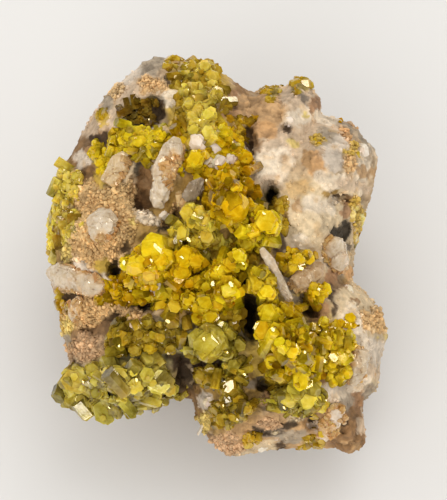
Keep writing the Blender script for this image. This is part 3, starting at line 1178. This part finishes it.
def quartz_piece(node, material):
    """A quartz crystal with uneven, broken faces, and rough about its root."""
    points, corners, normals = refined(hull_of(node), QUARTZ_EDGES, 6, (2,))
    height = 0.45 * chipped(points, 3.0 * MM, 701) + 0.2 * chipped(points, 1.5 * MM, 711)

    def body_colours(places):
        tints = np.tile(linear(COLOURS[QUARTZ_COLOURS.get(node, "milky")]), (len(places), 1))
        tints *= (1 + 0.1 * rough_noise(places, 1.8 * MM, 731))[:, None]
        rust = smooth_step(0.2, 0.7, rough_noise(places, 3.2 * MM, 741))
        tints = mixed(tints, COLOURS["pinkish"], rust, 0.6)
        low = smooth_step(1.6, 0.5, rock_distance(places) / MM + 0.9 * rough_noise(places, 1.5 * MM, 751))
        return mixed(tints, COLOURS["tan"], low, 0.8)

    growing = Growing(0.9, 0.3)
    spots = spots_on(points, corners, normals, *QUARTZ_SPOTS)
    cover = 0.7 * MM + 0.5 * MM * soft_noise(spots["place"], 1.8 * MM, 761)
    low = spots["free"] & (rock_distance(spots["place"]) < cover)
    rim = thinned(spots, low, QUARTZ_RIM_SPACING)
    add_small(growing, rim, 0.34, COLOURS["light_brown"], COLOURS["sand"], 0.2)
    mesh = growing.joined(node + "_fine", (points + normals * (height * MM)[:, None], corners), body_colours)
    add_piece(node + "_fine", mesh, material, "quartz", node)


def lamp_place(number):
    """Where one of the lamps stands, on a spiral over the specimen."""
    height = 0.3 + 0.7 * (number + 0.5) / LAMP_COUNT
    out = math.sqrt(1 - height * height)
    return np.array((out * math.cos(2.4 * number), out * math.sin(2.4 * number), height)) * LAMP_REACH


def lone_crystals(name, large, growth, material, slot, growing, lift):
    """Crystals here and there, on whatever shows at their places."""
    for stone in large:
        node = node_at(stone.x, stone.y)
        if node:
            add_stone(growing, stone, node, growth, lift)
    add_piece(name, growing.joined(name), material, slot)


def bright_faces(name, material):
    """Small crystals whose ends are turned so that each mirrors the lamp that needs the least turning."""
    growing = Growing(0.8, 0.2)
    lamps = np.array([lamp_place(number) for number in range(LAMP_COUNT)])
    for x, y, size in GLINTS:
        node = node_at(x, y)
        if node:
            place, facing = look_at(x, y, node)
            radius = 0.8 * size * PIXEL
            ways = unit(unit(lamps - place) + unit(EYE - place))
            axis = ways[(ways @ unit(facing + TOWARDS)).argmax()]
            tip = place + axis * (radius + 0.35 * MM)
            turn = rng.random()
            tints = mixed_tints(OLIVE, LEMON, np.array([0.6]))
            growing.add_one("plate", tip, axis, radius, 4 * radius, turn, 0.6, tints)
    add_piece(name, growing.joined(name), material, "pyromorphite")


def graph(material):
    """The material's node tree, its shader, and a function that adds a node to it."""
    material.use_nodes = True
    tree = material.node_tree

    def add(kind, **settings):
        node = tree.nodes.new(kind)
        for key, value in settings.items():
            if key in node.inputs:
                node.inputs[key].default_value = value
            else:
                setattr(node, key, value)
        return node

    return tree, tree.nodes["Principled BSDF"], add


def set_inputs(shader, **values):
    for name, value in values.items():
        shader.inputs[name.replace("_", " ")].default_value = value


def ranged(tree, value, source, target):
    """A value taken from one range to another."""
    node = tree.nodes.new("ShaderNodeMapRange")
    for name, number in zip(("From Min", "From Max", "To Min", "To Max"), source + target):
        node.inputs[name].default_value = number
    tree.links.new(value, node.inputs["Value"])
    return node.outputs["Result"]


# What most of a noise texture's values lie between.
NOISE_RANGE = (0.3, 0.7)


def tinted(name, noise_scale, contrast, bump_scale, bump_depth, rough, depths=None, **inputs):
    """A material with the mesh's own colours, mottled and with fine unevenness. Where depths are given, the
    colours are deep in some parts and pale in others, by powers between the two."""
    material = bpy.data.materials.new(name)
    tree, shader, add = graph(material)
    link = tree.links.new
    colour = add("ShaderNodeVertexColor", layer_name="tint")
    place = add("ShaderNodeTexCoord")

    def noise(**settings):
        texture = add("ShaderNodeTexNoise", **settings)
        link(place.outputs["Object"], texture.inputs["Vector"])
        return texture.outputs["Fac"]

    mottle = noise(Scale=noise_scale, Detail=5.0, Roughness=0.6)
    scaled = add("ShaderNodeVectorMath", operation="SCALE")
    link(colour.outputs["Color"], scaled.inputs[0])
    link(ranged(tree, mottle, NOISE_RANGE, (1 - contrast, 1 + contrast)), scaled.inputs["Scale"])
    result = scaled.outputs["Vector"]
    if depths:
        cloud = noise(Scale=1.4 * noise_scale, Detail=3.0, Distortion=1.2)
        deepened = add("ShaderNodeGamma")
        link(result, deepened.inputs["Color"])
        link(ranged(tree, cloud, NOISE_RANGE, depths), deepened.inputs["Gamma"])
        result = deepened.outputs["Color"]
    link(result, shader.inputs["Base Color"])
    fine = noise(Scale=bump_scale, Detail=4.0)
    bump = add("ShaderNodeBump", Distance=bump_depth)
    link(fine, bump.inputs["Height"])
    link(bump.outputs["Normal"], shader.inputs["Normal"])
    link(ranged(tree, fine, (0, 1), rough), shader.inputs["Roughness"])
    set_inputs(shader, **inputs)
    return material


def crystal_material(name, subsurface, transmission=0.0):
    return tinted(
        name, 500, 0.14, 1500, 0.000008, (0.02, 0.14), (0.8, 1.35), IOR=1.6, Transmission_Weight=transmission,
        Subsurface_Weight=subsurface, Subsurface_Scale=0.0009, Subsurface_Radius=(1.0, 0.8, 0.15),
    )


def quartz_material(name, subsurface):
    return tinted(
        name, 500, 0.08, 2400, 0.00001, (0.03, 0.2), (0.8, 1.4), IOR=1.55, Transmission_Weight=0.1,
        Subsurface_Weight=subsurface, Subsurface_Scale=0.0008, Subsurface_Radius=(1.0, 0.95, 0.9),
    )


def add_floor():
    """A pale floor, a little darker at the front than at the back."""
    mesh = bpy.data.meshes.new("floor")
    corners = [(x * FLOOR_HALF, y * FLOOR_HALF, 0) for x, y in ((-1, -1), (1, -1), (1, 1), (-1, 1))]
    mesh.from_pydata(corners, [], [(0, 1, 2, 3)])
    floor = bpy.data.objects.new("floor", mesh)
    floor.location.z = -0.0002
    bpy.context.scene.collection.objects.link(floor)
    material = bpy.data.materials.new("pale_floor")
    tree, shader, add = graph(material)
    link = tree.links.new
    place, parts, ramp = (add("ShaderNode" + kind) for kind in ("TexCoord", "SeparateXYZ", "ValToRGB"))
    front, back = ramp.color_ramp.elements
    front.color, back.color = FLOOR_FRONT, FLOOR_BACK
    link(place.outputs["Object"], parts.inputs["Vector"])
    link(ranged(tree, parts.outputs["Y"], FLOOR_RANGE, (0, 1)), ramp.inputs["Fac"])
    link(ramp.outputs["Color"], shader.inputs["Base Color"])
    set_inputs(shader, Roughness=0.7, Specular_IOR_Level=0.2)
    mesh.materials.append(material)


def add_light(name, place, size, power):
    """A square light that faces the specimen."""
    light = bpy.data.lights.new(name, "AREA")
    light.size = size
    light.energy = power
    lamp = bpy.data.objects.new(name, light)
    lamp.location = place
    lamp.rotation_euler = (Vector(FACE_MIDDLE) - Vector(place)).to_track_quat("-Z", "Y").to_euler()
    lamp.visible_camera = False
    bpy.context.scene.collection.objects.link(lamp)
    return lamp


def add_lights():
    """Two wide lights that light the specimen, and small warm lamps that only glint on it."""
    for light in LIGHTS:
        add_light(*light).visible_glossy = False
    for number in range(LAMP_COUNT):
        lamp = add_light(f"lamp_{number}", lamp_place(number), LAMP_SIZE, LAMP_POWER)
        lamp.visible_diffuse = False
        lamp.data.color = LAMP_COLOUR


def add_view():
    camera = bpy.data.cameras.new("view")
    viewer = bpy.data.objects.new("view", camera)
    viewer.location = Vector(EYE)
    viewer.rotation_euler = Vector(TOWARDS).to_track_quat("Z", "Y").to_euler()
    camera.sensor_fit = "HORIZONTAL"
    camera.sensor_width = 36
    camera.lens = camera.sensor_width * VIEW_DISTANCE / (PICTURE_WIDTH * PIXEL)
    camera.clip_start = 0.01
    bpy.context.scene.collection.objects.link(viewer)
    bpy.context.scene.camera = viewer
    bpy.context.scene.view_settings.view_transform = "Standard"


def add_sky():
    """An even, nearly white sky that doesn't mirror in the crystals."""
    world = bpy.data.worlds.new("studio")
    world.use_nodes = True
    back = world.node_tree.nodes["Background"]
    back.inputs["Color"].default_value = SKY_COLOUR
    back.inputs["Strength"].default_value = 1.0
    bpy.context.scene.world = world
    world.cycles_visibility.glossy = False


def main():
    add_view()
    add_sky()
    add_floor()
    add_lights()
    rock_finish = tinted("vein_rock", 900, 0.22, 4200, 0.00012, (0.55, 0.9), Specular_IOR_Level=0.35)
    thin_quartz, milky_quartz = quartz_material("thin_quartz", 0.1), quartz_material("milky_quartz", 0.6)
    points, corners, tints, grain, sugar = rock_surface()
    mesh = mesh_of("matrix_fine", points, corners, tints)
    add_piece("matrix_fine", mesh, rock_finish, "vein_rock", "matrix")
    mesh.calc_loop_triangles()
    points, normals = (read(mesh.vertices, name, 3) for name in ("co", "normal"))
    corners = read(mesh.loop_triangles, "vertices", 3, np.int32)
    spots = spots_on(points, corners, normals, *ROCK_SPOTS, tint=tints, grain=grain, sugar=sugar)
    limonite_grains(spots, rock_finish)
    quartz_druse(spots, rock_finish)
    finishes = {
        "waxy": crystal_material("waxy_pyromorphite", 0.5),
        "clear": crystal_material("clear_pyromorphite", 0.5, 0.15),
    }
    thin_finish = crystal_material("thin_pyromorphite", 0.1)
    for name, growth in GROWTHS.items():
        grow_cluster("pyromorphite_" + name, growth, finishes[growth.finish])
    add_crusts(spots, thin_finish)
    white, olive = Growth(CREAM, WHITE), Growth(DUSK, OLIVE)
    lone_crystals("quartz_small", WHITES, white, thin_quartz, "quartz", Growing(0.9, 0.15), 0.3)
    lone_crystals("pyromorphite_caps", CAPS, olive, thin_finish, "pyromorphite", Growing(), 0.1)
    for node in sorted(frame["nodes"]):
        if node.startswith("quartz_"):
            quartz_piece(node, milky_quartz)
    bright_faces("pyromorphite_bright_faces", thin_finish)


main()
